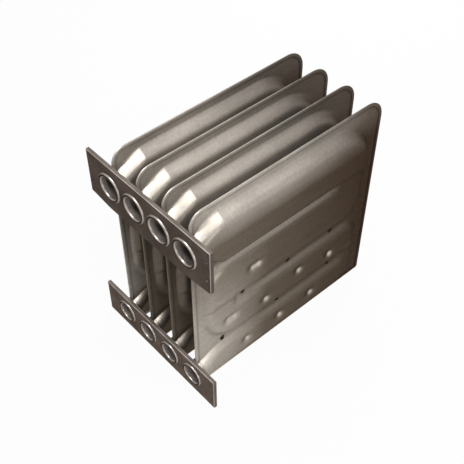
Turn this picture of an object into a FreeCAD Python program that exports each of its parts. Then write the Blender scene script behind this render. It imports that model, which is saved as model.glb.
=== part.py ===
import FreeCAD, Part
import Sketcher
import math
import os

# Furnace heat exchanger: four pressed clamshell cells hang between an inlet plate at the top
# front and an outlet plate at the bottom front. Hot gas enters each cell at its inlet port, runs
# four passes back and forth, and leaves at its outlet port; room air blows between the cells.
# Frame: +X along the row of cells, the ports face -Y, +Z up, origin under the middle of the box.

doc = FreeCAD.newDocument("furnace_heat_exchanger")
Vec = FreeCAD.Vector

SIZES = [
    # the row of cells
    ("cell_count", 4),
    ("cell_pitch", 65),
    ("cell_height", 450),
    ("rear_reach", 450),           # plate face to the cells' rear edge
    ("sheet", 0.9),                # aluminised steel of the half shells
    ("seam_gap", 0.02),            # from the cell's middle plane to each flange
    ("edge_gap", 0.1),             # between a flange's edge and the fold around it
    ("hem_width", 7),
    ("hem_window", 3),             # how far the fold stops short of a neck
    ("corner_front", 28),
    ("corner_rear", 42),
    ("corner_low", 5),
    # the four gas passes, highest and lowest line of each at the flange
    ("pass1_top", 431),
    ("pass1_low", 314),
    ("pass2_top", 310),
    ("pass2_low", 192),
    ("pass3_top", 185),
    ("pass3_low", 93),
    ("pass4_top", 86),
    ("pass4_low", 11),
    ("pass1_depth", 21),
    ("pass2_depth", 13),
    ("pass3_depth", 10.5),
    ("pass4_depth", 9.5),
    ("shoulder", 20),              # run of a pass's sloping side along the flange
    ("shoulder_under", 15),        # the steeper lower sides of passes 1 and 4
    ("pass_rear", 420),            # plate face to the rear end of the passes
    ("turn_front", 25),            # plate face to the front turn between passes 2 and 3
    ("bend1", 90),                 # corner radii, large ones where the gas turns
    ("bend2", 60),
    ("bend3", 84),
    ("bend4", 45),
    ("web_bend", 3),               # rounding of the end of the land between two passes
    ("web12_end", 325),            # where the land between two passes stops short of the turn
    ("web23_end", 108),
    ("web34_end", 368),
    # necks and ports
    ("neck_start", 9),             # plate face to the cells' front edge
    ("neck_length", 56),
    ("neck_reach", 1),             # how far a neck stands through its plate
    ("inlet_port_radius", 21.5),
    ("inlet_port_height", 377),
    ("outlet_port_radius", 18.5),
    ("outlet_port_height", 44),
    ("ferrule_wall", 1.2),
    ("ferrule_stop", 1),           # how far a ferrule stops short of the neck's taper
    ("ferrule_fit", 0.1),
    ("plate_fit", 0.2),
    ("inlet_curl", 3.6),
    ("outlet_curl", 3),
    # the two plates
    ("plate_overhang", 60.5),      # outer cells' middle planes to the plates' ends
    ("plate_sheet", 1.5),
    ("plate_lip", 7),
    ("plate_bend", 1.4),            # outer radius of the lips' bends, inside the sheet's thickness
    ("inlet_plate_above", 47),     # from the ports' axis to the plate's top edge
    ("inlet_plate_below", 53),
    ("inlet_end_rise", 7),
    ("inlet_end_run", 54),
    ("outlet_plate_above", 36),
    ("screw_radius", 2.2),
    ("screw_spacing", 43),
    ("screw_inset", 9),
    # dimples that stir the gas, and eyelets that tie the halves together
    ("dimple_ball", 20),
    ("dimple_sink", 4),
    ("dimple_stretch", 13),        # how much longer the first dimple of passes 2 and 3 is
    ("dimple_pitch", 84),
    ("dimple2_first", 141),
    ("dimple3_first", 88),
    ("dimple4_first", 128),
    ("dimple3_stagger", 8),
    ("eyelet_bore", 2),
    ("eyelet_radius", 3),
    ("eyelet_head", 4.2),
    ("eyelet_head_wall", 0.7),
    ("eyelet_land", 6.5),
    ("eyelet_dish_slope", 45),     # degrees from the flange
    ("eyelet23_first", 122),
    ("eyelet23_pitch", 112),
    ("eyelet34_first", 73),
    ("eyelet34_pitch", 138),
]

sizes = doc.addObject("Spreadsheet::Sheet", "sizes")
for row, (alias, number) in enumerate(SIZES, 1):
    sizes.set("A%d" % row, alias)
    sizes.set("B%d" % row, str(number))
    sizes.setAlias("B%d" % row, alias)
doc.recompute()


def size(alias):
    return float(getattr(sizes, alias))


def value_of(terms):
    """A length from named sizes: {"cell_pitch": 0.5} is half the pitch."""
    return sum(share * size(alias) for alias, share in terms.items())


def expression_of(terms):
    return " + ".join("%g * sizes.%s" % (share, alias) for alias, share in terms.items())


def added(*lengths):
    """The sum of several lengths, each a dictionary of named sizes."""
    total = {}
    for terms in lengths:
        for alias, share in terms.items():
            total[alias] = total.get(alias, 0) + share
    return total


# Every part hangs from one point: the middle of the plates' front plane.
FACE_Y = {"inlet_curl": 0.5, "rear_reach": -0.5}


def cell_x(number):
    """Middle plane of a cell, counted from 1 at the -X end."""
    return {"cell_pitch": number - (int(size("cell_count")) + 1) / 2}


def plate_end(side):
    """End of the plates on the -X side (side -1) or the +X side (side 1)."""
    return {"cell_pitch": side * (int(size("cell_count")) - 1) / 2, "plate_overhang": side}


def place(node, x, z):
    for axis, terms in (("x", x), ("y", FACE_Y), ("z", z)):
        if terms:
            node.setExpression("Placement.Base." + axis, expression_of(terms))


# Pressed half shells


def smooth(u):
    return u * u * (3 - 2 * u)


def shoulder_levels(depth, run, wall):
    """Steps up a pass's sloping side, as (height over the cell plane, run done, thickness shift).
    wall is the sheet's thickness for the outer face of the sheet and 0 for its inner face."""
    sheet = size("sheet")
    base = size("seam_gap")
    steps = 3
    if wall:
        levels = [(base, 0, 0)]
    else:
        levels = [(base - 1, 0, 0)]
    for step in range(steps + 1):
        u = step / steps
        slope = math.atan(depth * 6 * u * (1 - u) / run)
        outer = base + sheet + depth * smooth(u)
        if wall:
            levels.append((outer, u, 0))
        else:
            levels.append((outer - sheet * math.cos(slope), u, sheet * math.sin(slope)))
    return levels


def offset_corners(corners, shifts):
    """Corners of a polygon, each side moved inwards by its own shift."""
    lines = []
    for index, start in enumerate(corners):
        end = corners[(index + 1) % len(corners)]
        run = (end[0] - start[0], end[1] - start[1])
        length = math.hypot(*run)
        along = (run[0] / length, run[1] / length)
        inward = (-along[1], along[0])
        shift = shifts[index]
        lines.append(((start[0] + inward[0] * shift, start[1] + inward[1] * shift), along))
    moved = []
    for index in range(len(lines)):
        (p, d) = lines[index - 1]
        (q, e) = lines[index]
        cross = d[0] * e[1] - d[1] * e[0]
        reach = ((q[0] - p[0]) * e[1] - (q[1] - p[1]) * e[0]) / cross
        moved.append((p[0] + d[0] * reach, p[1] + d[1] * reach))
    return moved


def rounded_wire(corners, radii, x):
    """A closed wire at height x over the cell plane; a radius of 0 leaves a corner sharp."""
    count = len(corners)
    ends = []
    arcs = []
    for index, corner in enumerate(corners):
        before = corners[index - 1]
        after = corners[(index + 1) % count]
        here = Vec(x, *corner)
        back = (Vec(x, *before) - here).normalize()
        ahead = (Vec(x, *after) - here).normalize()
        radius = radii[index]
        if radius == 0:
            ends.append((here, here))
            arcs.append(None)
            continue
        half = back.getAngle(ahead) / 2
        reach = radius / math.tan(half)
        centre = here + (back + ahead).normalize() * (radius / math.sin(half))
        middle = centre + (here - centre).normalize() * radius
        start = here + back * reach
        end = here + ahead * reach
        ends.append((start, end))
        arcs.append(Part.Arc(start, middle, end).toShape())
    edges = []
    for index in range(count):
        if arcs[index]:
            edges.append(arcs[index])
        edges.append(Part.makeLine(ends[index][1], ends[(index + 1) % count][0]))
    return Part.Wire(edges)


def tray(corners, radii, runs, depth, wall):
    """One pass as a solid: outlines stacked from the flange up to its flat face.
    A run is how far a side slopes inwards; a negative radius is an inside corner's."""
    longest = max(runs)
    wires = []
    for height, u, shift in shoulder_levels(depth, longest, wall):
        shifts = [(run * u + shift) if run else 0 for run in runs]
        rounds = []
        for radius in radii:
            if radius > 0:
                rounds.append(max(radius - longest * u, 2))
            elif radius < 0:
                rounds.append(longest * u - radius)
            else:
                rounds.append(0)
        wires.append(rounded_wire(offset_corners(corners, shifts), rounds, height))
    return Part.makeLoft(wires, True, True)


def box_corners(front, rear, low, top):
    return [(front, low), (rear, low), (rear, top), (front, top)]


def rear_turn_corners(front, rear, low, top, web_end, turn_top):
    """A pass that runs up at its rear end, past the web, into the pass above."""
    return [(front, low), (rear, low), (rear, turn_top), (web_end, turn_top), (web_end, top),
            (front, top)]


def front_turn_corners(front, rear, low, top, web_end, turn_top):
    """A pass that runs up at its front end, past the web, into the pass above."""
    return [(front, low), (rear, low), (rear, top), (web_end, top), (web_end, turn_top),
            (front, turn_top)]


def pass_section(low, top, run_low, run_top, depth, wall, y):
    """Points of a pass's cross-section at y, from its low line over its face to its top line."""
    rising = []
    falling = []
    longest = max(run_low, run_top)
    for height, u, shift in shoulder_levels(depth, longest, wall):
        rising.append(Vec(height, y, low + run_low * u + shift))
        falling.append(Vec(height, y, top - run_top * u - shift))
    return rising + falling[::-1]


def neck(section, centre, radius):
    """A round neck that widens from a half circle at the cell's front edge to a pass's section."""
    front = size("neck_start")
    base = section[0].x
    spread = math.acos(base / radius)
    pieces = len(section) - 1
    arcs = []
    for index in range(pieces):
        angles = [-spread + 2 * spread * (index + part) / pieces for part in (0, 0.5, 1)]
        points = [Vec(radius * math.cos(a), front, centre + radius * math.sin(a)) for a in angles]
        arcs.append(Part.Arc(*points).toShape())
    start = Vec(base, front, centre - radius * math.sin(spread))
    end = Vec(base, front, centre + radius * math.sin(spread))
    round_wire = Part.Wire(arcs + [Part.makeLine(end, start)])
    square_wire = Part.makePolygon(section + [section[0]])
    cone = Part.makeLoft([round_wire, square_wire], True, True)
    reach = size("neck_reach") + front
    tube_face = Part.Face(round_wire)
    tube = tube_face.extrude(Vec(0, -reach, 0))
    return cone.fuse(tube)


def neck_radius(port, wall):
    """Radius of a neck's outer face, or of its inner face where wall is 0."""
    return size(port) + size("ferrule_wall") + size("ferrule_fit") + wall


def passes(wall):
    """The cell's four passes, their turns and the two necks, for one face of the pressed sheet."""
    run = size("shoulder")
    under = size("shoulder_under")
    rear = size("pass_rear")
    web = -size("web_bend")
    neck_end = size("neck_start") + size("neck_length")
    turn = size("turn_front")
    depths = [size("pass%d_depth" % number) for number in (1, 2, 3, 4)]
    tops = [size("pass%d_top" % number) for number in (1, 2, 3, 4)]
    lows = [size("pass%d_low" % number) for number in (1, 2, 3, 4)]
    first = box_corners(neck_end, rear, lows[0], tops[0])
    second = rear_turn_corners(turn, rear, lows[1], tops[1], size("web12_end"), lows[0] + under)
    third = front_turn_corners(turn, rear, lows[2], tops[2], size("web23_end"), lows[1] + run)
    fourth = rear_turn_corners(neck_end, rear, lows[3], tops[3], size("web34_end"), lows[2] + run)
    solids = [
        tray(first, [0, 0, size("bend1"), 0], [under, run, run, 0], depths[0], wall),
        tray(second, [0, size("bend2"), 0, 0, web, size("bend2")],
             [run, run, 0, run, run, run], depths[1], wall),
        tray(third, [size("bend3"), 0, size("bend4"), web, 0, 0],
             [run, run, run, run, 0, run], depths[2], wall),
        tray(fourth, [0, size("bend4"), 0, 0, web, 0], [under, run, 0, run, run, 0],
             depths[3], wall),
    ]
    upper = pass_section(lows[0], tops[0], under, run, depths[0], wall, neck_end)
    solids.append(neck(upper, size("inlet_port_height"), neck_radius("inlet_port_radius", wall)))
    lower = pass_section(lows[3], tops[3], under, run, depths[3], wall, neck_end)
    solids.append(neck(lower, size("outlet_port_height"), neck_radius("outlet_port_radius", wall)))
    return solids[0].fuse(solids[1:])


def middle_height(number):
    return (size("pass%d_top" % number) + size("pass%d_low" % number)) / 2


def dimple(y, z, depth, stretch, wall):
    """A ball, drawn out along the pass, whose lower side presses a dimple into the face."""
    radius = size("dimple_ball") + size("sheet") - wall
    face = size("seam_gap") + size("sheet") + depth
    x = face - size("dimple_sink") + size("dimple_ball")
    if not stretch:
        return Part.makeSphere(radius, Vec(x, y, z))
    start = Vec(x, y - stretch / 2, z)
    end = Vec(x, y + stretch / 2, z)
    bar = Part.makeCylinder(radius, stretch, start, Vec(0, 1, 0))
    return bar.fuse([Part.makeSphere(radius, start), Part.makeSphere(radius, end)])


def dimples(wall):
    pitch = size("dimple_pitch")
    stretch = size("dimple_stretch")
    stagger = size("dimple3_stagger")
    solids = [dimple(size("dimple2_first"), middle_height(2), size("pass2_depth"), stretch, wall)]
    for index in range(4):
        y = size("dimple3_first") + pitch * index
        z = middle_height(3) + stagger * (-1) ** index
        solids.append(dimple(y, z, size("pass3_depth"), 0 if index else stretch, wall))
    for index in range(3):
        y = size("dimple4_first") + pitch * index
        solids.append(dimple(y, middle_height(4), size("pass4_depth"), 0, wall))
    return solids


def eyelet_places():
    """Where the eyelets sit, in the lands between passes 2 and 3 and between 3 and 4."""
    places = []
    for first, pitch, upper, lower in (("eyelet23_first", "eyelet23_pitch", "pass2_low", "pass3_top"),
                                       ("eyelet34_first", "eyelet34_pitch", "pass3_low", "pass4_top")):
        for index in range(3):
            y = size(first) + size(pitch) * index
            places.append((y, (size(upper) + size(lower)) / 2))
    return places


def dish(y, z, wall):
    """The funnel round an eyelet, which brings the sheet down to the flange."""
    sheet = size("sheet")
    slope = math.radians(size("eyelet_dish_slope"))
    radius = size("eyelet_land")
    base = size("seam_gap")
    high = size("pass2_depth") + 2 * sheet
    axis = Vec(1, 0, 0)
    if wall:
        foot = Vec(base + sheet, y, z)
        return Part.makeCone(radius, radius + high / math.tan(slope), high, foot, axis)
    foot = Vec(base, y, z)
    radius = radius + sheet * math.tan(slope / 2)
    cone = Part.makeCone(radius, radius + high / math.tan(slope), high, foot, axis)
    return cone.fuse(Part.makeCylinder(radius, 2, foot - axis * 2, axis))


def flange_wire(inset, x):
    """The cell's outline, moved inwards by inset."""
    corners = box_corners(size("neck_start"), size("rear_reach"), 0, size("cell_height"))
    low = size("corner_low")
    radii = [low, low, size("corner_rear"), size("corner_front")]
    least = 1
    radii = [max(radius - inset, least) for radius in radii]
    return rounded_wire(offset_corners(corners, [inset] * 4), radii, x)


def flange_plate(inset, x_start, x_end):
    return Part.Face(flange_wire(inset, x_start)).extrude(Vec(x_end - x_start, 0, 0))


def neck_windows(x_start, x_end):
    """Blocks round the two necks, where the fold leaves the front edge open."""
    blocks = []
    for port, height in (("inlet_port_radius", "inlet_port_height"),
                         ("outlet_port_radius", "outlet_port_height")):
        half = neck_radius(port, size("sheet")) + size("hem_window")
        corner = Vec(x_start, size("neck_start") - 1, size(height) - half)
        blocks.append(Part.makeBox(x_end - x_start, size("hem_width") + 2, 2 * half, corner))
    return blocks


def right_blank():
    """The +X half's flange, trimmed at its edge to lie inside the other half's fold."""
    start = size("seam_gap")
    end = start + size("sheet")
    inset = size("sheet") + size("edge_gap")
    rim = flange_plate(-1, start - 1, end + 1).cut(
        [flange_plate(inset, start - 2, end + 2)] + neck_windows(start - 2, end + 2))
    return flange_plate(0, start, end).cut(rim)


def left_blank():
    """The -X half's flange and the fold that grips the other flange, as if it lay on the +X side."""
    gap = size("seam_gap")
    sheet = size("sheet")
    under = -(2 * gap + sheet)
    block = flange_plate(0, under - sheet, gap + sheet)
    pocket = flange_plate(sheet, under, gap)
    opening = flange_plate(size("hem_width"), under - 2 * sheet, gap)
    return block.cut([pocket, opening] + neck_windows(under - 2 * sheet, gap))


def pressed_halves():
    """Both halves of a cell: flange, passes, necks, dimples, dishes and eyelet holes."""
    sheet = size("sheet")
    places = eyelet_places()
    outer = passes(sheet).cut(dimples(sheet) + [dish(y, z, sheet) for y, z in places])
    inner = passes(0).cut(dimples(0) + [dish(y, z, 0) for y, z in places])
    hole = size("eyelet_radius") + size("ferrule_fit")
    depth = 4 * sheet
    holes = [Part.makeCylinder(hole, 2 * depth, Vec(-depth, y, z), Vec(1, 0, 0)) for y, z in places]
    right = right_blank().fuse(outer).cut([inner] + holes)
    left = left_blank().fuse(outer).cut([inner] + holes)
    return {"left": left.mirror(Vec(0, 0, 0), Vec(1, 0, 0)), "right": right}


# Plates, ferrules and eyelets


def sketch_on(body, role, name):
    plane = [item for item in body.Origin.OriginFeatures if item.Role == role][0]
    sketch = body.newObject("Sketcher::SketchObject", name)
    sketch.AttachmentSupport = [(plane, "")]
    sketch.MapMode = "FlatFace"
    return sketch


def pin_point(sketch, geometry, end, across, up):
    """Binds one point of a sketch to named sizes, measured from the sketch's origin."""
    for kind, terms, axis in (("DistanceX", across, -2), ("DistanceY", up, -1)):
        if not terms:
            sketch.addConstraint(Sketcher.Constraint("PointOnObject", geometry, end, axis))
            continue
        index = sketch.addConstraint(
            Sketcher.Constraint(kind, -1, 1, geometry, end, value_of(terms)))
        sketch.setExpression("Constraints[%d]" % index, expression_of(terms))


def draw_polygon(sketch, points):
    """A closed outline; each point is a pair of lengths in named sizes."""
    spots = [Vec(value_of(across), value_of(up), 0) for across, up in points]
    count = len(points)
    lines = [sketch.addGeometry(Part.LineSegment(spots[i], spots[(i + 1) % count]), False)
             for i in range(count)]
    for i in range(count):
        sketch.addConstraint(
            Sketcher.Constraint("Coincident", lines[i], 2, lines[(i + 1) % count], 1))
        pin_point(sketch, lines[i], 1, *points[i])


def pad(body, sketch, name, length):
    """Pads a sketch on the XZ plane towards +Y."""
    feature = body.newObject("PartDesign::Pad", name)
    feature.Profile = sketch
    feature.Reversed = True
    feature.setExpression("Length", expression_of(length))
    return feature


def round_holes(body, name, centres, radius):
    """Round holes through a plate, drilled along Y."""
    sketch = sketch_on(body, "XZ_Plane", name + "_sketch")
    for across, up in centres:
        spot = Vec(value_of(across), value_of(up), 0)
        circle = sketch.addGeometry(Part.Circle(spot, Vec(0, 0, 1), value_of(radius)), False)
        pin_point(sketch, circle, 3, across, up)
        index = sketch.addConstraint(Sketcher.Constraint("Radius", circle, value_of(radius)))
        sketch.setExpression("Constraints[%d]" % index, expression_of(radius))
    feature = body.newObject("PartDesign::Pocket", name)
    feature.Profile = sketch
    feature.Type = "ThroughAll"
    feature.Midplane = True
    return feature


def header_plate(name, outline, top, low, end_low, port_height, port_hole, screws):
    """A flat plate with one hole for each cell and a lip bent back along its top and its ends."""
    body = doc.addObject("PartDesign::Body", name)
    face_sketch = sketch_on(body, "XZ_Plane", name + "_outline")
    draw_polygon(face_sketch, outline)
    pad(body, face_sketch, name + "_face", {"plate_sheet": 1})
    left = plate_end(-1)
    right = plate_end(1)
    left_inner = added(left, {"plate_sheet": 1})
    right_inner = added(right, {"plate_sheet": -1})
    top_inner = added(top, {"plate_sheet": -1})
    lip_sketch = sketch_on(body, "XZ_Plane", name + "_lip_outline")
    draw_polygon(lip_sketch, [(left, end_low), (left_inner, end_low), (left_inner, top_inner),
                              (right_inner, top_inner), (right_inner, end_low), (right, end_low),
                              (right, top), (left, top)])
    pad(body, lip_sketch, name + "_lips", {"plate_lip": 1})
    cells = range(1, int(size("cell_count")) + 1)
    round_holes(body, name + "_ports", [(cell_x(number), port_height) for number in cells], port_hole)
    if screws:
        round_holes(body, name + "_screw_holes", screws, {"screw_radius": 1})
    doc.recompute()
    base = body.Tip
    high = value_of(top)
    half = value_of(right)
    front_edges = []
    for index, edge in enumerate(base.Shape.Edges, 1):
        points = [vertex.Point for vertex in edge.Vertexes]
        on_face = all(abs(point.y) < 1e-6 for point in points)
        on_top = all(abs(point.z - high) < 1e-6 for point in points)
        on_end = all(abs(abs(point.x) - half) < 1e-6 for point in points)
        if on_face and (on_top or on_end):
            front_edges.append("Edge%d" % index)
    bend = body.newObject("PartDesign::Fillet", name + "_bends")
    bend.Base = (base, front_edges)
    bend.setExpression("Radius", "min(sizes.plate_bend; 0.95 * sizes.plate_sheet)")
    place(body, {}, {})
    return body


def neck_hole(port):
    """Radius of a plate's hole: the neck's outside and its clearance."""
    return {port: 1, "ferrule_wall": 1, "ferrule_fit": 1, "sheet": 1, "plate_fit": 1}


def ferrule(name, port, curl, x, z):
    """A short tube pressed into a neck, whose front edge curls back onto the plate."""
    body = doc.addObject("PartDesign::Body", name)
    sketch = sketch_on(body, "XY_Plane", name + "_section")
    middle = {port: 1, curl: 1}
    inner = {port: 1}
    outer = {port: 1, "ferrule_wall": 1}
    lip = {port: 1, curl: 2}
    lip_inner = {port: 1, curl: 2, "ferrule_wall": -1}
    back = {"neck_start": 1, "ferrule_stop": -1}
    centre = Vec(value_of(middle), 0, 0)
    axis = Vec(0, 0, 1)

    def spot(across, up):
        return Vec(value_of(across), value_of(up), 0)

    big = Part.ArcOfCircle(Part.Circle(centre, axis, size(curl)), math.pi, 2 * math.pi)
    hollow = size(curl) - size("ferrule_wall")
    small = Part.ArcOfCircle(Part.Circle(centre, axis, hollow), math.pi, 2 * math.pi)
    tube_in = sketch.addGeometry(Part.LineSegment(spot(inner, back), spot(inner, {})), False)
    curl_out = sketch.addGeometry(big, False)
    foot = sketch.addGeometry(Part.LineSegment(spot(lip, {}), spot(lip_inner, {})), False)
    curl_in = sketch.addGeometry(small, False)
    tube_out = sketch.addGeometry(Part.LineSegment(spot(outer, {}), spot(outer, back)), False)
    end = sketch.addGeometry(Part.LineSegment(spot(outer, back), spot(inner, back)), False)
    joints = [(tube_in, 2, curl_out, 1), (curl_out, 2, foot, 1), (foot, 2, curl_in, 2),
              (curl_in, 1, tube_out, 1), (tube_out, 2, end, 1), (end, 2, tube_in, 1)]
    for joint in joints:
        sketch.addConstraint(Sketcher.Constraint("Coincident", *joint))
    pin_point(sketch, curl_out, 3, middle, {})
    pin_point(sketch, tube_in, 2, inner, {})
    sketch.addConstraint(Sketcher.Constraint("PointOnObject", foot, 1, -1))
    sketch.addConstraint(Sketcher.Constraint("PointOnObject", foot, 2, -1))
    pin_point(sketch, curl_in, 3, middle, {})
    pin_point(sketch, tube_out, 1, outer, {})
    pin_point(sketch, tube_out, 2, outer, back)
    pin_point(sketch, tube_in, 1, inner, back)
    turned = body.newObject("PartDesign::Revolution", name + "_turned")
    turned.Profile = sketch
    turned.ReferenceAxis = (sketch, ["V_Axis"])
    turned.Angle = 360
    place(body, x, z)
    return body


def eyelet_master():
    """One tubular rivet: a shank through both flanges and a rolled head on each side."""
    body = doc.addObject("PartDesign::Body", "eyelet")
    sketch = sketch_on(body, "XY_Plane", "eyelet_section")
    seat = {"seam_gap": 1, "sheet": 1}
    end = added(seat, {"eyelet_head_wall": 1})
    bore = {"eyelet_bore": 1}
    shank = {"eyelet_radius": 1}
    head = {"eyelet_head": 1}

    def back(terms):
        return {alias: -share for alias, share in terms.items()}

    draw_polygon(sketch, [(back(end), bore), (end, bore), (end, head), (seat, head), (seat, shank),
                          (back(seat), shank), (back(seat), head), (back(end), head)])
    turned = body.newObject("PartDesign::Revolution", "eyelet_turned")
    turned.Profile = sketch
    turned.ReferenceAxis = (sketch, ["H_Axis"])
    turned.Angle = 360
    return body


nodes = []
eyelet = eyelet_master()
doc.recompute()

halves = pressed_halves()
rivets = []
for y, z in eyelet_places():
    copy = eyelet.Shape.copy()
    copy.translate(Vec(0, y, z))
    rivets.append(copy)

for number in range(1, int(size("cell_count")) + 1):
    for side, shape in halves.items():
        half = doc.addObject("Part::Feature", "cell_%d_%s_half" % (number, side))
        half.Shape = shape
        place(half, cell_x(number), {})
        nodes.append(half)
    group = doc.addObject("Part::Feature", "cell_%d_eyelets" % number)
    group.Shape = Part.makeCompound(rivets)
    place(group, cell_x(number), {})
    nodes.append(group)
    nodes.append(ferrule("inlet_ferrule_%d" % number, "inlet_port_radius", "inlet_curl",
                         cell_x(number), {"inlet_port_height": 1}))
    nodes.append(ferrule("outlet_ferrule_%d" % number, "outlet_port_radius", "outlet_curl",
                         cell_x(number), {"outlet_port_height": 1}))

left_end = plate_end(-1)
right_end = plate_end(1)
inlet_top = {"inlet_port_height": 1, "inlet_plate_above": 1}
inlet_low = {"inlet_port_height": 1, "inlet_plate_below": -1}
inlet_end = added(inlet_low, {"inlet_end_rise": 1})
run = {"inlet_end_run": 1}
back_run = {"inlet_end_run": -1}
inlet_outline = [(left_end, inlet_end), (added(left_end, run), inlet_low),
                 (added(right_end, back_run), inlet_low), (right_end, inlet_end),
                 (right_end, inlet_top), (left_end, inlet_top)]
screw_spots = []
for side in (-1, 1):
    for step in (-0.5, 0.5):
        across = added(plate_end(side), {"screw_inset": -side})
        screw_spots.append((across, {"inlet_port_height": 1, "screw_spacing": step}))
nodes.append(header_plate("inlet_plate", inlet_outline, inlet_top, inlet_low, inlet_end,
                          {"inlet_port_height": 1}, neck_hole("inlet_port_radius"), screw_spots))
outlet_top = {"outlet_port_height": 1, "outlet_plate_above": 1}
outlet_outline = [(left_end, {}), (right_end, {}), (right_end, outlet_top),
                  (left_end, outlet_top)]
nodes.append(header_plate("outlet_plate", outlet_outline, outlet_top, {}, {},
                          {"outlet_port_height": 1}, neck_hole("outlet_port_radius"), []))

doc.recompute()

for item in doc.Objects:
    if "Invalid" in item.State or "Error" in item.State:
        raise RuntimeError("%s did not recompute: %s" % (item.Label, item.State))
os.makedirs("parts", exist_ok=True)
for node in nodes:
    shape = node.Shape
    if shape.isNull() or not shape.isValid():
        raise RuntimeError("%s has no valid shape" % node.Label)
    shape.exportStep("parts/%s.step" % node.Label)
    print(node.Label, len(shape.Solids), round(shape.Volume, 1), shape.BoundBox)
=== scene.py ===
import math

import bpy
import numpy as np
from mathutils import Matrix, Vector


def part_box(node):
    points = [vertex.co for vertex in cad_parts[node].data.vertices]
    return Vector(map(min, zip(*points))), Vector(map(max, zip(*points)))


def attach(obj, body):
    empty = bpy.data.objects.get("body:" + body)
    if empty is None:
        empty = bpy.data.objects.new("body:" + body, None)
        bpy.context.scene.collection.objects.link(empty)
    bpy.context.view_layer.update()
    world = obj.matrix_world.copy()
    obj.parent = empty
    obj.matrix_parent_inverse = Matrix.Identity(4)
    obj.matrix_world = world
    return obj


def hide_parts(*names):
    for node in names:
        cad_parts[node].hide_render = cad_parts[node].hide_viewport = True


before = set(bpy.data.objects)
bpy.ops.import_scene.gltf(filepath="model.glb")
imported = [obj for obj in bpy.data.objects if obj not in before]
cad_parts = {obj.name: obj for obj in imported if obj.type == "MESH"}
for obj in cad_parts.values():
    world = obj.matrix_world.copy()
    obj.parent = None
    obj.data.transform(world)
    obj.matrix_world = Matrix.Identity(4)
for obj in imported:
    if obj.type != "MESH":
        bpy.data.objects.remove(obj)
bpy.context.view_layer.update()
print("frame loaded:", len(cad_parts), "nodes")

mm = 0.001

# Shapes are in millimetres until a mesh is made; materials, lights and camera are in metres. On a
# cell, y counts from the plates' face towards the rear, z from the floor, and x from the cell's
# middle plane.

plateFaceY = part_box("inlet_plate")[0].y / mm

cell = {
    "count": 4,
    "height": 450,
    "front": 9,
    "rear": 450,
    "sheet": 0.9,
    "seam": 0.02,          # flange to middle plane
    "cornerFront": 28,
    "cornerRear": 42,
    "cornerLow": 5,
    "trim": 1.0,           # how far the inner flange stops short of the fold
    "blend": 7.0,          # soft joint where two passes meet
    "landEnd": 3,          # radius at the end of a land that juts in between two passes
    "sharp": 70,           # edges that turn by more degrees than this are shown sharp
}

# the hem lies flat between these distances from the fold, then its free edge lifts a little
hem = {"width": 7, "flatFrom": 4.2, "flatTo": 6.4, "lift": 0.25, "arc": (60, 30, 0, -30, -60, -90)}

tiny = 1e-6

# low and top are each pass's edges at the flange; a side left out is open into its neighbour
passes = [
    {"low": 314, "top": 431, "rear": 420, "depth": 21, "runLow": 15, "run": 20, "bendRearTop": 90},
    {"low": 192, "top": 329, "front": 25, "rear": 420, "depth": 13, "runLow": 20, "run": 20,
     "openTop": True, "bendRearLow": 60, "webTop": 310, "webRear": 325, "bendFrontTop": 60},
    {"low": 93, "top": 212, "front": 25, "rear": 420, "depth": 10.5, "runLow": 20, "run": 20,
     "openTop": True, "bendFrontLow": 84, "webTop": 185, "webFront": 108, "bendRearTop": 45},
    {"low": 11, "top": 113, "rear": 420, "depth": 9.5, "runLow": 15, "run": 20,
     "openTop": True, "bendRearLow": 45, "webTop": 86, "webRear": 368},
]

necks = [
    {"pass": 0, "height": 377, "top": 431, "radius": 23.7, "below": 310, "above": 450},
    {"pass": 3, "height": 44, "top": 86, "radius": 20.7, "below": 0, "above": 93},
]
neckEnd = 65
neckRings = (-1, 2.5, 6)       # y of the rings of each neck's round tube, ahead of the sheet
neckCircle = (0, 3 / 7, 4 / 7, 1)      # share of the half circle at a pass's edges and run ends
neckStraight = 0.6             # how much of the change from neck to pass is even, the rest eased

dimpleBall = {"radius": 20, "reach": 0.99, "sink": 4, "soft": 1.2}
dimples = [
    {"y": 141, "z": 251, "depth": 13, "stretch": 13},
    {"y": 88, "z": 147, "depth": 10.5, "stretch": 13},
    {"y": 172, "z": 131, "depth": 10.5, "stretch": 0},
    {"y": 256, "z": 147, "depth": 10.5, "stretch": 0},
    {"y": 340, "z": 131, "depth": 10.5, "stretch": 0},
    {"y": 128, "z": 48.5, "depth": 9.5, "stretch": 0},
    {"y": 212, "z": 48.5, "depth": 9.5, "stretch": 0},
    {"y": 296, "z": 48.5, "depth": 9.5, "stretch": 0},
]

# hole is the radius that the eyelet fills; the grid's squares are bent to circles up to ring and
# are square again at block; an eyelet is painted black, a painted shadow of its bore, up to blackTo
# from its middle, plain from plainFrom
eyelets = {"hole": 3.1, "land": 6.5, "slope": 45, "soft": 1.0, "ring": 4.8, "block": 8.5,
           "blackTo": 3.1, "plainFrom": 3.5,
           "places": [(122, 188.5), (234, 188.5), (346, 188.5), (73, 89.5), (211, 89.5), (349, 89.5)]}

# lines of the sheet's grid: the fixed ones, the finer zones (from, to, step), the step elsewhere,
# and the heights past which the lines bend to the cell's outline
grid = {
    "fixedY": [16, 17.5, 19, 21, 25, 45, neckEnd, 439, 441, 442.5],
    "fixedZ": [7, 8.5, 9.9, 11, 26, 66, 86, 93, 113, 165, 212, 290, 310, 311, 312, 313, 314, 329,
               411, 431, 438, 440, 441.5, 443],
    "zonesY": [(9, 70, 3.2)],
    "zonesZ": [(11, 26, 2.8), (66, 113, 2.8), (165, 212, 2.8), (290, 329, 3.0), (411, 431, 2.8)],
    "stepY": 4.2,
    "stepZ": 4.0,
    "cornerLines": 8,
    "eyeletLines": [0, 1.55, eyelets["hole"], eyelets["ring"], 6.6, eyelets["block"]],
    "bendBelow": 20,
    "bendAbove": 340,
}


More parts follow.
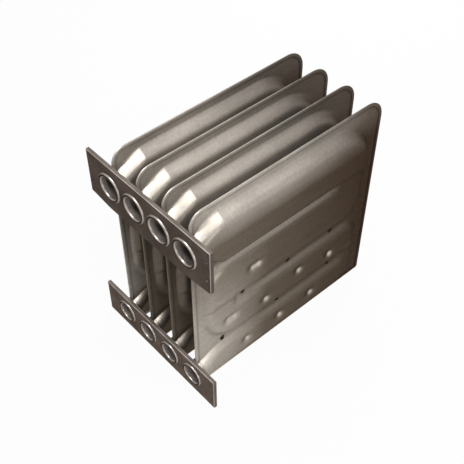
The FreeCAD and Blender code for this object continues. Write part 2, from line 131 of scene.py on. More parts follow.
def ramp(t):
    # rounded ramp: a parabola at the foot, a straight middle and a longer parabola at the top,
    # where the three meet with one slope
    foot, head = 0.2, 0.5
    slope = 1 / (1 - foot / 2 - head / 2)
    t = np.clip(t, 0, 1)
    rising = slope * t * t / (2 * foot)
    levelling = 1 - slope * (1 - t)**2 / (2 * head)
    return np.where(t < foot, rising, np.where(t > 1 - head, levelling, slope * (t - foot / 2)))


def softMax(a, b, reach):
    # larger of the two, with a parabola over the last bit where they cross
    gap = np.clip(reach - np.abs(a - b), 0, None) / reach
    return np.maximum(a, b) + gap * gap * reach * 0.25


def meltTogether(a, b, reach):
    # the same, but in full only where both stand well clear of the flange
    both = np.clip(np.minimum(a, b) / reach, 0, 1)
    return np.maximum(a, b) + (softMax(a, b, reach) - np.maximum(a, b)) * both


def softMin(a, b, reach):
    # smaller of the two, rounded the same way
    return -softMax(-a, -b, reach)


def passRise(p, y, z):
    # share of the run done from the nearest edge, edges being straight sides, round corners
    # (radius less distance to the corner's centre) and the end of the land that juts in
    far = 1e3
    end = cell["landEnd"]
    front = (y - p["front"]) if "front" in p else y - neckEnd + far
    t = np.minimum((z - p["low"]) / p["runLow"], (p["rear"] - y) / p["run"])
    t = np.minimum(t, front / p["run"])
    # an open top runs on level and sinks only inside its higher neighbour
    sinks = p["top"] + p["run"] if p.get("openTop") else p["top"]
    t = np.minimum(t, (sinks - z) / p["run"])
    top = p.get("webTop", p["top"])
    corners = (("bendRearTop", p["rear"], -1, top, -1), ("bendRearLow", p["rear"], -1, p["low"], 1),
               ("bendFrontTop", p.get("front"), 1, top, -1),
               ("bendFrontLow", p.get("front"), 1, p["low"], 1))
    if "webRear" in p:
        reachY = np.clip(y - p["webRear"] + end, 0, None)
    elif "webFront" in p:
        reachY = np.clip(p["webFront"] + end - y, 0, None)
    if "webTop" in p:
        reachZ = np.clip(p["webTop"] + end - z, 0, None)
        t = np.minimum(t, (np.hypot(reachY, reachZ) - end) / p["run"])
    for name, cornerY, inY, cornerZ, inZ in corners:
        if name not in p:
            continue
        r = p[name]
        dy = (y - cornerY) * inY - r
        dz = (z - cornerZ) * inZ - r
        t = np.where((dy < 0) & (dz < 0), np.minimum(t, (r - np.hypot(dy, dz)) / p["run"]), t)
    rise = p["depth"] * ramp(t)
    return rise if "front" in p else np.where(y >= neckEnd - tiny, rise, 0)


def pressedHeight(y, z):
    # height over the flange: the passes melted together, less the dimples and the eyelets' dishes
    h = np.zeros_like(y)
    for p in passes:
        h = meltTogether(h, passRise(p, y, z), cell["blend"])
    for d in dimples:
        along = np.clip(np.abs(y - d["y"]) - d["stretch"] / 2, 0, None)
        out = np.hypot(along, z - d["z"])
        ball = dimpleBall["radius"]
        bowl = d["depth"] - dimpleBall["sink"] + ball - np.sqrt(np.clip(ball**2 - out**2, 0, None))
        near = out < ball * dimpleBall["reach"]
        h = np.where(near, softMin(h, bowl, dimpleBall["soft"]), h)
    for ey, ez in eyelets["places"]:
        out = np.hypot(y - ey, z - ez)
        funnel = (out - eyelets["land"]) * math.tan(math.radians(eyelets["slope"]))
        funnel = softMax(funnel, np.zeros_like(funnel), eyelets["soft"])
        h = softMin(h, funnel, eyelets["soft"])
    return np.clip(h, 0, None)


def stations(start, end, fixed, coarse, zones):
    # grid lines from start to end through the fixed ones, closer together inside the zones
    marks = sorted(set([start, end] + [m for m in fixed if start < m < end]))
    lines = [marks[0]]
    for a, b in zip(marks, marks[1:]):
        middle = (a + b) / 2
        step = min([s for lo, hi, s in zones if lo <= middle <= hi] + [coarse])
        count = max(1, int(math.ceil((b - a) / step - tiny)))
        lines += list(np.linspace(a, b, count + 1)[1:])
    return np.array(lines)


def gridLines(inset):
    # the sheet's lines in y and z: fixed ones, even steps of angle round the upper corners, and
    # the same few on both sides of each eyelet
    front, rear, top = cell["front"] + inset, cell["rear"] - inset, cell["height"] - inset
    rf, rr = cell["cornerFront"] - inset, cell["cornerRear"] - inset
    fixedY, fixedZ = list(grid["fixedY"]), list(grid["fixedZ"])
    for k in range(1, grid["cornerLines"] + 1):
        angle = math.radians(90 - k * 90 / grid["cornerLines"])
        fixedY += [front + rf * (1 - math.sin(angle)), rear - rr * (1 - math.sin(angle))]
    for ey, ez in eyelets["places"]:
        for r in grid["eyeletLines"]:
            fixedY += [ey - r, ey + r]
            fixedZ += [ez - r, ez + r]
    ys = stations(front, rear, fixedY, grid["stepY"], grid["zonesY"])
    zs = stations(inset, top, fixedZ, grid["stepZ"], grid["zonesZ"])
    return ys, zs


def topLine(y, inset):
    # height of the cell's upper edge: level, with a quarter circle down at each end
    front, rear, top = cell["front"] + inset, cell["rear"] - inset, cell["height"] - inset
    rf, rr = cell["cornerFront"] - inset, cell["cornerRear"] - inset
    intoFront = np.clip(front + rf - y, 0, rf)
    intoRear = np.clip(y - rear + rr, 0, rr)
    return top - rf + np.sqrt(rf**2 - intoFront**2) - rr + np.sqrt(rr**2 - intoRear**2)


def lowLine(y, inset):
    # height of the lower edge: level, with a small quarter circle up at each end
    front, rear = cell["front"] + inset, cell["rear"] - inset
    r = cell["cornerLow"] - inset
    into = np.clip(front + r - y, 0, r) + np.clip(y - rear + r, 0, r)
    return inset + r - np.sqrt(np.clip(r**2 - into**2, 0, None))


def passSection(p, top, z):
    # along a pass's section: its share of the neck's half circle, and its height, at each z
    low, runLow, run = p["low"], p["runLow"], p["run"]
    t = np.interp(z, [low, low + runLow, top - run, top], neckCircle)
    rise = p["depth"] * ramp(np.minimum((z - low) / runLow, (top - z) / run))
    return t, rise


def outlineNormal(y, z):
    # outward direction in the cell's plane: from the corner's centre in a corner, square to the
    # nearest side elsewhere
    front, rear, top = cell["front"], cell["rear"], cell["height"]
    toSides = np.stack([y - front, rear - y, z, top - z])
    nearest = np.argmin(toSides, axis=0)
    ny = np.choose(nearest, [-1.0, 1.0, 0.0, 0.0])
    nz = np.choose(nearest, [0.0, 0.0, -1.0, 1.0])
    low = cell["cornerLow"]
    corners = ((front, 1, top, -1, cell["cornerFront"]), (rear, -1, top, -1, cell["cornerRear"]),
               (front, 1, 0, 1, low), (rear, -1, 0, 1, low))
    for cornerY, inY, cornerZ, inZ, r in corners:
        dy = y - (cornerY + inY * r)
        dz = z - (cornerZ + inZ * r)
        there = (dy * inY < 0) & (dz * inZ < 0)
        far = np.maximum(np.hypot(dy, dz), tiny)
        ny = np.where(there, dy / far, ny)
        nz = np.where(there, dz / far, nz)
    return ny, nz


def formSheet(inset):
    # the pressed sheet's outer face: a grid of lines bent to the cell's outline, to a ring round
    # each eyelet and, in front, to the necks' half circles
    ys, zs = gridLines(inset)
    top = cell["height"] - inset
    flange = cell["seam"] + cell["sheet"]
    y, z = np.meshgrid(ys, zs, indexing="ij")
    highFrom, lowFrom = grid["bendAbove"], grid["bendBelow"]
    upper = highFrom + (z - highFrom) * (topLine(ys, inset)[:, None] - highFrom) / (top - highFrom)
    lower = lowFrom - (lowFrom - z) * (lowFrom - lowLine(ys, inset)[:, None]) / (lowFrom - inset)
    z = np.where(z > highFrom, upper, np.where(z < lowFrom, lower, z))
    for ey, ez in eyelets["places"]:
        dy, dz = y - ey, z - ez
        square = np.maximum(np.abs(dy), np.abs(dz))
        ring = np.maximum(np.hypot(dy, dz), tiny)
        share = np.clip((eyelets["block"] - square) / (eyelets["block"] - eyelets["ring"]), 0, 1)
        pull = 1 + (square / ring - 1) * share
        y, z = ey + dy * pull, ez + dz * pull
    x = flange + pressedHeight(y, z)
    tubes = []
    columns = np.nonzero(ys < neckEnd)[0]
    for n in necks:
        p = passes[n["pass"]]
        rows = np.nonzero((zs >= p["low"] - tiny) & (zs <= n["top"] + tiny))[0]
        above = np.nonzero((zs > n["top"] + tiny) & (zs <= n["above"] + tiny))[0]
        below = np.nonzero((zs < p["low"] - tiny) & (zs >= n["below"] - tiny))[0]
        t, rise = passSection(p, n["top"], zs[rows])
        roundZ = n["height"] - n["radius"] * np.cos(math.pi * t)
        roundX = np.maximum(n["radius"] * np.sin(math.pi * t), flange)
        s = np.clip((ys[columns] - cell["front"]) / (neckEnd - cell["front"]), 0, 1)[:, None]
        s = neckStraight * s + (1 - neckStraight) * s * s * (3 - 2 * s)
        z[np.ix_(columns, rows)] = (1 - s) * roundZ + s * zs[rows]
        x[np.ix_(columns, rows)] = (1 - s) * roundX + s * (flange + rise)
        for side, edge, end in ((above, rows[-1], above[-1]), (below, rows[0], below[0])):
            share = (zs[side] - zs[edge]) / (zs[end] - zs[edge])
            first, last = z[columns, edge][:, None], z[columns, end][:, None]
            z[np.ix_(columns, side)] = first + (last - first) * share
            x[np.ix_(columns, side)] = flange + pressedHeight(y[np.ix_(columns, side)],
                                                              z[np.ix_(columns, side)])
        y[0, rows[0] - 1:rows[-1] + 2] = cell["front"]
        tubes.append((rows, roundX, roundZ))
    return ys, zs, x, y, z, tubes


def gridFaces(index):
    # four-cornered faces between the neighbours of a grid of point numbers
    corners = [index[:-1, :-1], index[1:, :-1], index[1:, 1:], index[:-1, 1:]]
    return np.stack(corners, -1).reshape(-1, 4)


def sheetSurface(inset, withHem):
    # a half shell's outer face: the pressed sheet with a hole at each eyelet, the necks' round
    # front ends and, on the left half, the hem
    ys, zs, x, y, z, tubes = formSheet(inset)
    columns, rows = len(ys), len(zs)
    index = np.arange(columns * rows).reshape(columns, rows)
    points = np.stack([x, y, z], -1).reshape(-1, 3)
    faces = gridFaces(index)
    middleY = ((ys[:-1] + ys[1:]) / 2)[:, None]
    middleZ = ((zs[:-1] + zs[1:]) / 2)[None, :]
    keep = np.ones((columns - 1, rows - 1), bool)
    hole = eyelets["hole"]
    for ey, ez in eyelets["places"]:
        keep &= ~((np.abs(middleY - ey) < hole) & (np.abs(middleZ - ez) < hole))
    faces = faces[keep.ravel()]
    for tubeRows, roundX, roundZ in tubes:
        start = len(points)
        strips = [np.stack([roundX, np.full_like(roundX, at), roundZ], -1) for at in neckRings]
        points = np.concatenate([points] + strips)
        tube = np.arange(start, len(points)).reshape(len(neckRings), -1)
        faces = np.concatenate([faces, gridFaces(np.vstack([tube, index[0, tubeRows]]))])
    if withHem:
        # the fold: a half circle round the edge, then flat back over the other half's flange
        under = -(2 * cell["seam"] + 2 * cell["sheet"])
        middle = (cell["seam"] + cell["sheet"] + under) / 2
        turn = (cell["seam"] + cell["sheet"] - under) / 2
        angles = np.radians(hem["arc"])
        profile = [(turn - turn * math.cos(a), middle + turn * math.sin(a)) for a in angles]
        profile += [(hem["flatFrom"], under), (hem["flatTo"], under)]
        profile += [(hem["width"], under + hem["lift"])]
        lowerTube, upperTube = tubes[1][0], tubes[0][0]
        front = index[0]
        loop = np.concatenate([front[:lowerTube[0] - 1][::-1], index[1:, 0], index[-1, 1:],
                               index[:-1, -1][::-1], front[upperTube[-1] + 2:-1][::-1]])
        betweenTubes = front[lowerTube[-1] + 2:upperTube[0] - 1][::-1]
        for path in (loop, betweenTubes):
            ny, nz = outlineNormal(points[path, 1], points[path, 2])
            rings = [path]
            for depth, height in profile:
                out = inset - depth
                ring = np.stack([np.full(len(path), height), points[path, 1] + ny * out,
                                 points[path, 2] + nz * out], -1)
                rings.append(np.arange(len(points), len(points) + len(path)))
                points = np.concatenate([points, ring])
            faces = np.concatenate([faces, gridFaces(np.vstack(rings))])
    return points, faces


# painted highlights and painted shade on the cells, written to their points: 0.5 is plain sheet,
# more is paler
tones = {"worn": 0.7, "dirty": 1.1, "smoothing": 6,
         "crease": 0.42, "creaseAt": 8.0, "creaseWidth": 3.0,
         "glint": 0.55, "glintAt": (2, -3), "dimpleShade": 0.45, "dimpleShadeAt": (-8, 5), "spot": 8.0}

# painted shadow round the eyelets, black up to the first radius; the rows' spots are shifted
# up or down
eyeletShadow = {"full": 3.4, "none": 6.8, "lowerRow": 3.0, "upperRow": -2.5, "between": 150}


def vertexNormals(points, faces):
    # mean direction of the faces round each point: the cross product of each face's diagonals,
    # added up at its corners
    p = points[faces]
    across = np.cross(p[:, 2] - p[:, 0], p[:, 3] - p[:, 1])
    total = np.zeros_like(points)
    for corner in range(4):
        np.add.at(total, faces[:, corner], across)
    return total / np.maximum(np.linalg.norm(total, axis=1, keepdims=True), 1e-12)


def bendTone(points, faces):
    # how the surface bends at each point: the turn of the normal along its edges over their
    # length, long edges counting for more, then smoothed; 0.5 is flat, more is an outside bend and
    # a painted highlight, less an inside bend and painted shade
    normals = vertexNormals(points, faces)
    total = np.zeros(len(points))
    share = np.zeros(len(points))
    for corner in range(4):
        a, b = faces[:, corner], faces[:, (corner + 1) % 4]
        along = points[b] - points[a]
        turn = np.sum((normals[b] - normals[a]) * along, 1)
        for end in (a, b):
            np.add.at(total, end, turn)
            np.add.at(share, end, np.sum(along**2, 1))
    bend = total / np.maximum(share, tiny)
    for smoothing in range(tones["smoothing"]):
        total = np.zeros(len(points))
        share = np.zeros(len(points))
        for corner in range(4):
            a, b = faces[:, corner], faces[:, (corner + 1) % 4]
            weight = np.linalg.norm(points[b] - points[a], axis=1)
            for end, other in ((a, b), (b, a)):
                np.add.at(total, end, bend[other] * weight)
                np.add.at(share, end, weight)
        bend = (bend + total / np.maximum(share, tiny)) / 2
    return 0.5 + bend * np.where(bend > 0, tones["worn"], tones["dirty"])


def creaseTone(y, z):
    # painted shade along the fold's free edge: falls off evenly on both sides of a line inside the
    # outline
    front, rear, top = cell["front"], cell["rear"], cell["height"]
    inside = np.minimum(np.minimum(y - front, rear - y), np.minimum(z, top - z))
    for cornerY, inY, r in ((front, 1, cell["cornerFront"]), (rear, -1, cell["cornerRear"])):
        dy = (y - cornerY) * inY - r
        dz = top - z - r
        inside = np.where((dy < 0) & (dz < 0), r - np.hypot(dy, dz), inside)
    away = np.abs(inside - tones["creaseAt"]) / tones["creaseWidth"]
    return tones["crease"] * np.clip(1 - away, 0, 1)


def dimpleShadingTone(y, z):
    # a painted highlight on each dimple's floor and painted shade on its upper front side: two
    # spots that fall off as exp(-distance squared)
    tone = np.zeros_like(y)
    for d in dimples:
        along = np.clip(np.abs(y - d["y"]) - d["stretch"] / 2, 0, None) * np.sign(y - d["y"])
        for gain, (aheadY, aheadZ) in ((tones["glint"], tones["glintAt"]),
                                       (-tones["dimpleShade"], tones["dimpleShadeAt"])):
            away = np.hypot(along - aheadY, z - d["z"] - aheadZ) / tones["spot"]
            tone += gain * np.exp(-away**2)
    return tone


def eyeletShadowTone(y, z):
    # painted shadow: 1 round each eyelet, 0 away from it, on the side of it that no pass hides
    # from above
    tone = np.zeros_like(y)
    for ey, ez in eyelets["places"]:
        lift = eyeletShadow["upperRow"] if ez > eyeletShadow["between"] else eyeletShadow["lowerRow"]
        away = np.hypot(y - ey, z - ez - lift)
        tone = np.maximum(tone, (eyeletShadow["none"] - away) / (eyeletShadow["none"] - eyeletShadow["full"]))
    return np.clip(tone, 0, 1)


def thicken(points, faces, wall):
    # a second face one wall inside the first, along the normals, and a rim round every open edge
    count = len(points)
    inner = points - vertexNormals(points, faces) * wall
    edges = np.concatenate([faces[:, [k, (k + 1) % 4]] for k in range(4)])
    key = edges[:, 0] * count + edges[:, 1]
    back = edges[:, 1] * count + edges[:, 0]
    rim = edges[~np.isin(key, back)]
    rimFaces = np.stack([rim[:, 1], rim[:, 0], rim[:, 0] + count, rim[:, 1] + count], -1)
    walls = np.concatenate([faces, faces[:, ::-1] + count, rimFaces])
    return np.concatenate([points, inner]), walls


def dropLoose(points, faces):
    # leaves out the points that no face uses
    used = np.unique(faces)
    renumber = np.zeros(len(points), int)
    renumber[used] = np.arange(len(used))
    return points[used], renumber[faces]


def makePiece(name, points, faces, painted=None):
    # an object at the origin from points in millimetres; painted gives a value to each point
    mesh = bpy.data.meshes.new(name)
    mesh.from_pydata((points * mm).tolist(), [], faces.tolist())
    for key, values in (painted or {}).items():
        mesh.attributes.new(key, "FLOAT", "POINT").data.foreach_set("value", values)
    mesh.polygons.foreach_set("use_smooth", np.ones(len(mesh.polygons), bool))
    mesh.update()
    mesh.set_sharp_from_angle(angle=math.radians(cell["sharp"]))
    piece = bpy.data.objects.new(name, mesh)
    bpy.context.scene.collection.objects.link(piece)
    return piece


# Materials


def linear(hexCode):
    # sRGB hex to linear light
    parts = [int(hexCode[k:k + 2], 16) / 255 for k in (1, 3, 5)]
    red, green, blue = [c / 12.92 if c <= 0.04045 else ((c + 0.055) / 1.055)**2.4 for c in parts]
    return red, green, blue, 1.0


def addNode(tree, kind, settings=None, links=None):
    # settings are the node's own properties or the values of its inputs
    node = tree.nodes.new(kind)
    for key, value in (settings or {}).items():
        if isinstance(key, str) and hasattr(node, key):
            setattr(node, key, value)
        else:
            node.inputs[key].default_value = value
    for key, socket in (links or {}).items():
        tree.links.new(socket, node.inputs[key])
    return node


def noise(tree, vector, size, detail):
    # cloudy noise whose features are about size millimetres across
    node = addNode(tree, "ShaderNodeTexNoise", {"Scale": 1 / (size * mm), "Detail": detail},
                   {"Vector": vector})
    return node.outputs["Fac"]


def between(tree, value, fromLow, fromHigh, toLow, toHigh, curve="LINEAR"):
    # value carried over from one range to another and held at its ends
    ranges = {"From Min": fromLow, "From Max": fromHigh, "To Min": toLow, "To Max": toHigh,
              "interpolation_type": curve}
    return addNode(tree, "ShaderNodeMapRange", ranges, {"Value": value}).outputs["Result"]


def swing(tree, value, depth):
    # a noise made a gain that swings round 1 by depth
    return between(tree, value, pattern["noiseLow"], pattern["noiseHigh"], 1 - depth, 1 + depth)


def separated(tree, vector):
    return addNode(tree, "ShaderNodeSeparateXYZ", links={"Vector": vector}).outputs


def attribute(tree, name):
    return addNode(tree, "ShaderNodeAttribute", {"attribute_name": name}).outputs["Fac"]


def blendColours(tree, share, first, second):
    # a colour is a tuple or another node's output
    node = tree.nodes.new("ShaderNodeMix")
    node.data_type = "RGBA"
    tree.links.new(share, node.inputs["Factor"])
    for name, colour in (("A", first), ("B", second)):
        socket = [item for item in node.inputs if item.name == name and item.type == "RGBA"][0]
        if isinstance(colour, tuple):
            socket.default_value = colour
        else:
            tree.links.new(colour, socket)
    return [item for item in node.outputs if item.type == "RGBA"][0]


def scaled(tree, colour, gain):
    node = addNode(tree, "ShaderNodeVectorMath", {"operation": "SCALE"},
                   {"Vector": colour, "Scale": gain})
    return node.outputs["Vector"]


def combined(tree, operation, first, second):
    # first and second are outputs or plain numbers
    node = addNode(tree, "ShaderNodeMath", {"operation": operation})
    for slot, value in enumerate((first, second)):
        if isinstance(value, (int, float)):
            node.inputs[slot].default_value = value
        else:
            tree.links.new(value, node.inputs[slot])
    return node.outputs[0]


def eyeletHoles(tree, where):
    # 1 in the bores of the eyelets, 0 outside: distance in the cell's plane to the nearest one;
    # there the bore colour is painted shade
    nearest = None
    for y, z in eyelets["places"]:
        centred = {"Location": (0, -(y + plateFaceY) * mm, -z * mm), "Scale": (0, 1, 1)}
        flat = addNode(tree, "ShaderNodeMapping", centred, {"Vector": where})
        away = addNode(tree, "ShaderNodeVectorMath", {"operation": "LENGTH"},
                       {"Vector": flat.outputs["Vector"]}).outputs["Value"]
        nearest = away if nearest is None else combined(tree, "MINIMUM", nearest, away)
    return between(tree, nearest, eyelets["blackTo"] * mm, eyelets["plainFrom"] * mm, 1.0, 0.0)


def rearBrownShare(tree, place, cloud):
    # 0 for the front colour, 1 for the darker, browner rear colour: more towards the rear and the
    # top, in clouds
    rise = combined(tree, "MULTIPLY", place["Z"], rearBrown["climb"])
    back = combined(tree, "ADD", place["Y"], rise)
    back = between(tree, back, rearBrown["from"], rearBrown["to"], 0.0, 1.0)
    mixed = addNode(tree, "ShaderNodeMath", {"operation": "MULTIPLY_ADD", 1: rearBrown["cloud"]},
                    {0: cloud, 2: back}).outputs[0]
    return between(tree, mixed, rearBrown["cloud"] * rearBrown["low"], 1 + rearBrown["cloud"] * rearBrown["high"],
                   0.0, 1.0)


def cellPaintedLight(tree, look, place, litShare):
    # the cells' painted light: pale where they face up and lie near the top, less towards the
    # rear, then pale on the two outer faces' lower front
    aside = combined(tree, "ABSOLUTE", place["X"], 0.0)
    low = between(tree, place["Z"], pale["lowFrom"], pale["lowTo"], pale["lowShare"], 1.0)
    high = between(tree, place["Z"], pale["topFrom"], pale["topTo"], 0.0, look["paleTop"])
    # painted light in the gaps: faces inside the row stay pale further down than the two outer ones
    inner = between(tree, aside, pale["outerFrom"], pale["outerTo"], look["paleInside"], 0.0)
    deep = between(tree, place["Z"], pale["deepFrom"], pale["deepTo"], 0.0, 1.0)
    high = combined(tree, "MAXIMUM", high, combined(tree, "MULTIPLY", deep, inner))
    rear = between(tree, place["Y"], pale["rearFrom"], pale["rearTo"], 1.0, pale["rearShare"],
                   "SMOOTHSTEP")
    litShare = combined(tree, "MAXIMUM", combined(tree, "MULTIPLY", litShare, low), high)
    litShare = combined(tree, "MULTIPLY", litShare, rear)
    near = between(tree, place["Y"], pale["nearFrom"], pale["nearTo"], look["paleFront"], 0.0)
    under = between(tree, place["Z"], pale["underFrom"], pale["underTo"], 1.0, 0.0)
    outer = between(tree, aside, pale["outerFrom"], pale["outerTo"], 0.0, 1.0)
    litLowFront = combined(tree, "MULTIPLY", combined(tree, "MULTIPLY", near, under), outer)
    return combined(tree, "MAXIMUM", litShare, litLowFront)


def surfaceBump(tree, look, where):
    # shallow waves of the pressed sheet with a fine grain on them
    wave = noise(tree, where, look["waveSize"], pattern["waveDetail"])
    wavy = addNode(tree, "ShaderNodeBump",
                   {"Strength": pattern["bump"], "Distance": look["waveHeight"] * mm},
                   {"Height": wave})
    grain = noise(tree, where, look["grainSize"], pattern["grainDetail"])
    bump = addNode(tree, "ShaderNodeBump",
                   {"Strength": pattern["bump"], "Distance": look["grainHeight"] * mm},
                   {"Height": grain, "Normal": wavy.outputs["Normal"]})
    return bump.outputs["Normal"]


def aluminisedSheet(name, look):
    # hot-dipped aluminised steel: painted light makes it pale where it faces up; darker and browner
    # towards the rear; painted highlights on outside bends and painted shade in inside ones; faint
    # spangle, streaks and clouds
    material = bpy.data.materials.new(name)
    material.use_nodes = True
    tree = material.node_tree
    tree.nodes.clear()
    where = addNode(tree, "ShaderNodeTexCoord").outputs["Object"]
    place = separated(tree, where)
    facing = separated(tree, addNode(tree, "ShaderNodeNewGeometry").outputs["Normal"])
    cloud = noise(tree, where, look["cloudSize"], pattern["cloudDetail"])
    spangle = noise(tree, where, look["spangleSize"], pattern["spangleDetail"])
    drawn = addNode(tree, "ShaderNodeMapping", {"Scale": (1.0, pattern["streakPull"], 1.0)},
                    {"Vector": where})
    streak = noise(tree, drawn.outputs["Vector"], look["streakSize"], pattern["streakDetail"])
    brownShare = rearBrownShare(tree, place, cloud)
    tint = blendColours(tree, brownShare, linear(look["front"]), linear(look["rear"]))
    # painted light: the share of the pale up colour grows as a face turns up
    litShare = between(tree, facing["Z"], look["upFrom"], look["upTo"], 0.0, 1.0, "SMOOTHSTEP")
    if "paleTop" in look:
        litShare = cellPaintedLight(tree, look, place, litShare)
    if "bendDepth" in look:
        # painted highlights: where the tone attribute runs high, the sheet also takes the pale up
        # colour
        tone = attribute(tree, "tone")
        highlighted = between(tree, tone, pattern["highlightFrom"], 1.0, 0.0, look["highlightShare"])
        litShare = combined(tree, "MAXIMUM", litShare, highlighted)
    # painted light: the sheet turns to the pale up colour by the share worked out above
    tint = blendColours(tree, litShare, tint, linear(look["up"]))
    if "bend" in look:
        # 1 where the surface is halfway between facing the ports' way and facing aside, where the
        # bend colour is a painted highlight
        square = combined(tree, "MULTIPLY", facing["Y"], facing["Y"])
        halfway = combined(tree, "MULTIPLY", square, combined(tree, "SUBTRACT", 1.0, square))
        halfway = between(tree, halfway, pattern["halfwayFrom"], pattern["halfwayTo"], 0.0, 1.0)
        tint = blendColours(tree, halfway, tint, linear(look["bend"]))
    if "crest" in look:
        # painted shade: a ferrule's crest, facing the ports' way, takes the dark crest colour
        crest = between(tree, facing["Y"], pattern["crestFrom"], pattern["crestTo"], 0.0, 1.0)
        tint = blendColours(tree, crest, tint, linear(look["crest"]))
    gains = [swing(tree, cloud, look["cloudDepth"]), swing(tree, spangle, pattern["spangle"]),
             swing(tree, streak, pattern["streak"])]
    if "bendDepth" in look:
        # painted highlights and shade: the tone attribute makes the colour lighter or darker
        gains.append(between(tree, tone, 0.0, 1.0, 1 - look["bendDepth"], 1 + look["bendDepth"]))
        # painted shadow: near-black round the eyelets, on the side that shows from above
        tint = blendColours(tree, attribute(tree, "eyeletShadow"), tint, linear(look["eyeletShadow"]))
    if "bore" in look:
        # painted shade: the eyelets' bores and the heads round them turn near-black
        tint = blendColours(tree, eyeletHoles(tree, where), tint, linear(look["bore"]))
    for gain in gains:
        tint = scaled(tree, tint, gain)
    rough = between(tree, cloud, pattern["noiseLow"], pattern["noiseHigh"],
                    look["roughLow"], look["roughHigh"])
    shader = addNode(tree, "ShaderNodeBsdfPrincipled",
                     {"Metallic": look["metallic"], "Specular IOR Level": look["gloss"],
                      "Specular Tint": linear(look["grazing"])},
                     {"Base Color": tint, "Roughness": rough,
                      "Normal": surfaceBump(tree, look, where)})
    addNode(tree, "ShaderNodeOutputMaterial", links={"Surface": shader.outputs["BSDF"]})
    return material


# the part of a noise's range that is used, each noise's detail, and where the tones set in
pattern = {"noiseLow": 0.3, "noiseHigh": 0.7, "cloudDetail": 4.0, "spangleDetail": 3.0,
           "streakDetail": 3.0, "waveDetail": 1.0, "grainDetail": 2.0,
           "spangle": 0.08, "streak": 0.06, "streakPull": 0.12,
           "highlightFrom": 0.68, "halfwayFrom": 0.08, "halfwayTo": 0.22,
           "crestFrom": -0.75, "crestTo": -0.98, "bump": 0.5}

# where the brown sets in and is full, along y plus climb times z, in metres
rearBrown = {"from": -0.17, "to": 0.27, "climb": 0.3, "cloud": 0.35, "low": 0.2, "high": 0.8}

# where the cells' painted light begins and ends, in metres
pale = {"topFrom": 0.37, "topTo": 0.425, "lowFrom": 0.10, "lowTo": 0.40, "lowShare": 0.5,
        "rearFrom": -0.09, "rearTo": 0.24, "rearShare": 0.14,
        "nearFrom": -0.19, "nearTo": -0.05, "underFrom": 0.16, "underTo": 0.34,
        "outerFrom": 0.090, "outerTo": 0.098, "deepFrom": 0.30, "deepTo": 0.40}

# sizes are in millimetres; a key that only some looks have adds the part that reads it
# up is a painted light colour, which faces take as they turn up
sheetLook = {"front": "#746b60", "rear": "#3d3128", "up": "#b5aea5", "upFrom": 0.42, "upTo": 0.95,
             "grazing": "#8f877d", "gloss": 0.0, "metallic": 0.5,
             "cloudSize": 110, "cloudDepth": 0.10, "spangleSize": 5, "streakSize": 9,
             "grainSize": 1.6, "grainHeight": 0.06, "waveSize": 60, "waveHeight": 0.9,
             "roughLow": 0.34, "roughHigh": 0.46}
# the cells add painted light and shade: paleTop, paleFront and paleInside, the tone's gain and
# highlights, and the near-black of the eyelets' painted shadow
cellLook = dict(sheetLook, bendDepth=0.55, eyeletShadow="#120e0b", paleTop=0.85, paleFront=0.85,
                paleInside=0.8, highlightShare=0.75)
plateLook = dict(sheetLook, front="#5f5651", rear="#5f5651", up="#756c66", bend="#b3aba2",
                 cloudSize=45, cloudDepth=0.16)
# painted light: the outlet plate's copy of the plate look is lighter, for the stronger light on the
# lower plate
lowPlateLook = dict(plateLook, front="#6d645e", rear="#6d645e")
ferruleLook = dict(sheetLook, front="#a39a94", rear="#a39a94", up="#a39a94", bend="#a8a098",
                   crest="#3f3733", cloudSize=25, roughLow=0.24, roughHigh=0.36)
eyeletLook = dict(sheetLook, front="#4a433d", rear="#3b342e", up="#8a8279", bore="#060505",
                  cloudSize=6)

cellSteel = aluminisedSheet("aluminisedCellSheet", cellLook)
plateSteel = aluminisedSheet("aluminisedPlateSheet", plateLook)
lowPlateSteel = aluminisedSheet("aluminisedLowPlateSheet", lowPlateLook)
ferruleSteel = aluminisedSheet("rolledFerruleSteel", ferruleLook)
eyeletSteel = aluminisedSheet("platedEyeletSteel", eyeletLook)

# Half shells

# radius of the hem's fold, one and a half sheets with their gaps
foldTurn = (cell["seam"] + cell["sheet"]) * 1.5
surfaces = {"left": sheetSurface(foldTurn, True), "right": sheetSurface(cell["trim"], False)}
solids = {}
for side, (points, faces) in surfaces.items():
    points, faces = thicken(points, faces, cell["sheet"])
    points, faces = dropLoose(points, faces)
    y, z = points[:, 1], points[:, 2]
    # painted highlights on outside bends and dimple floors, painted shade in inside bends, on the
    # dimples' upper sides and along the hem's edge
    tone = bendTone(points, faces) + dimpleShadingTone(y, z) - creaseTone(y, z)
    solids[side] = points, faces, {"tone": np.clip(tone, 0, 1), "eyeletShadow": eyeletShadowTone(y, z)}
    print(side, "half:", len(faces), "faces")

for number in range(1, cell["count"] + 1):
    low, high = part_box("inlet_ferrule_%d" % number)
    middleX = (low.x + high.x) / 2 / mm
    for side, (points, faces, painted) in solids.items():
        turned = points.copy()
        if side == "left":
            turned[:, 0] *= -1
            faces = faces[:, ::-1]
        turned += [middleX, plateFaceY, 0]
        piece = makePiece("cell_%d_%s_sheet" % (number, side), turned, faces, painted)
        piece.data.materials.append(cellSteel)
        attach(piece, "root")
        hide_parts("cell_%d_%s_half" % (number, side))
print("half shells made")

for name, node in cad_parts.items():
    if "ferrule" in name:
        finish = ferruleSteel
    elif name == "outlet_plate":
        finish = lowPlateSteel
    elif name == "inlet_plate":
        finish = plateSteel
    elif "eyelets" in name:
        finish = eyeletSteel
    else:
        continue
    node.data.materials.clear()
    node.data.materials.append(finish)
print("plates, ferrules and eyelets finished")

# Floor, light and camera

# floorSize in metres, floorDrop in millimetres; worldGrey lights the object, floorShade is what
# the camera sees of the floor's glow
stage = {"floorSize": 30, "floorDrop": 0.2, "floorColour": "#d8d8d8", "worldGrey": 0.5,
         "floorShade": 0.95}


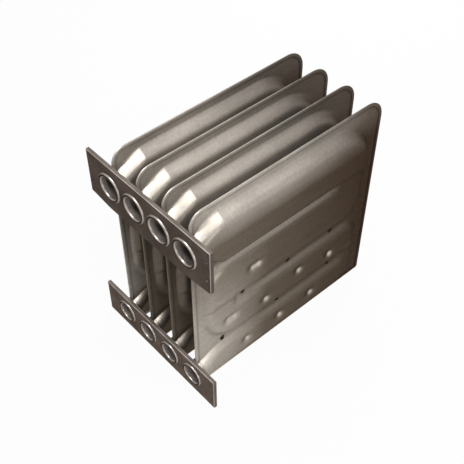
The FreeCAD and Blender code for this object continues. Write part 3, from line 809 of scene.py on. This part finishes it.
def seenDirectly(tree):
    # 1 for the camera, reflections and glass, 0 for the light that falls on the object
    path = addNode(tree, "ShaderNodeLightPath").outputs
    seen = combined(tree, "MAXIMUM", path["Is Camera Ray"], path["Is Glossy Ray"])
    return combined(tree, "MAXIMUM", seen, path["Is Transmission Ray"])


world = bpy.data.worlds.new("paleRoom")
bpy.context.scene.world = world
world.use_nodes = True
tree = world.node_tree
tree.nodes.clear()
strength = between(tree, seenDirectly(tree), 0.0, 1.0, stage["worldGrey"], 1.0)
background = addNode(tree, "ShaderNodeBackground", {"Color": (1, 1, 1, 1)}, {"Strength": strength})
addNode(tree, "ShaderNodeOutputWorld", links={"Surface": background.outputs[0]})

half = stage["floorSize"] / 2 / mm
drop = -stage["floorDrop"]
floorPoints = np.array([[-half, -half, drop], [half, -half, drop], [half, half, drop],
                        [-half, half, drop]])
floor = makePiece("floor", floorPoints, np.array([[0, 1, 2, 3]]))
paper = bpy.data.materials.new("whitePaper")
paper.use_nodes = True
tree = paper.node_tree
tree.nodes.clear()
seen = between(tree, seenDirectly(tree), 0.0, 1.0, 0.0, stage["floorShade"])
matte = addNode(tree, "ShaderNodeBsdfDiffuse", {"Color": linear(stage["floorColour"])})
glow = addNode(tree, "ShaderNodeEmission", {"Color": (1, 1, 1, 1), "Strength": 1.0})
mixed = addNode(tree, "ShaderNodeMixShader",
                links={0: seen, 1: matte.outputs[0], 2: glow.outputs[0]})
addNode(tree, "ShaderNodeOutputMaterial", links={"Surface": mixed.outputs[0]})
floor.data.materials.append(paper)

# places and aims in metres, power in watts
lamps = [
    {"name": "keyAbove", "at": (0.50, -0.28, 1.95), "aim": (0, 0, 0.35), "size": 1.0, "power": 2},
    {"name": "sideAbove", "at": (1.1, -0.4, 2.0), "aim": (0, 0, 0.3), "size": 1.0, "power": 20},
    {"name": "neckLight", "at": (-0.10, -0.62, 1.85), "aim": (0, -0.18, 0.40), "size": 0.6,
     "power": 45, "diffuse": False},
    {"name": "fillSide", "at": (1.4, -0.5, 0.40), "aim": (0, -0.1, 0.2), "size": 0.6, "power": 6},
    {"name": "rearFill", "at": (-0.9, 1.3, 1.1), "aim": (0, 0, 0.25), "size": 1.0, "power": 16,
     "glossy": False},
]
for lamp in lamps:
    light = bpy.data.lights.new(lamp["name"], "AREA")
    light.size = lamp["size"]
    light.energy = lamp["power"]
    holder = bpy.data.objects.new(lamp["name"], light)
    bpy.context.scene.collection.objects.link(holder)
    holder.location = lamp["at"]
    holder.visible_diffuse = lamp.get("diffuse", True)
    holder.visible_glossy = lamp.get("glossy", True)
    aim = [lamp["aim"][k] - lamp["at"][k] for k in range(3)]
    holder.rotation_euler = Vector(aim).to_track_quat("-Z", "Y").to_euler()

print("floor and lamps set")

camera = {"lens": 65.03, "film": 36, "at": (0.78718, -0.74228, 1.34366), "azimuth": 48.18,
          "elevation": 46.89}
cameraData = bpy.data.cameras.new("camera")
cameraData.lens = camera["lens"]
cameraData.sensor_width = camera["film"]
eye = bpy.data.objects.new("camera", cameraData)
bpy.context.scene.collection.objects.link(eye)
eye.location = camera["at"]
eye.rotation_euler = (math.radians(90 - camera["elevation"]), 0, math.radians(camera["azimuth"]))
bpy.context.scene.camera = eye

bpy.context.scene.view_settings.view_transform = "Standard"
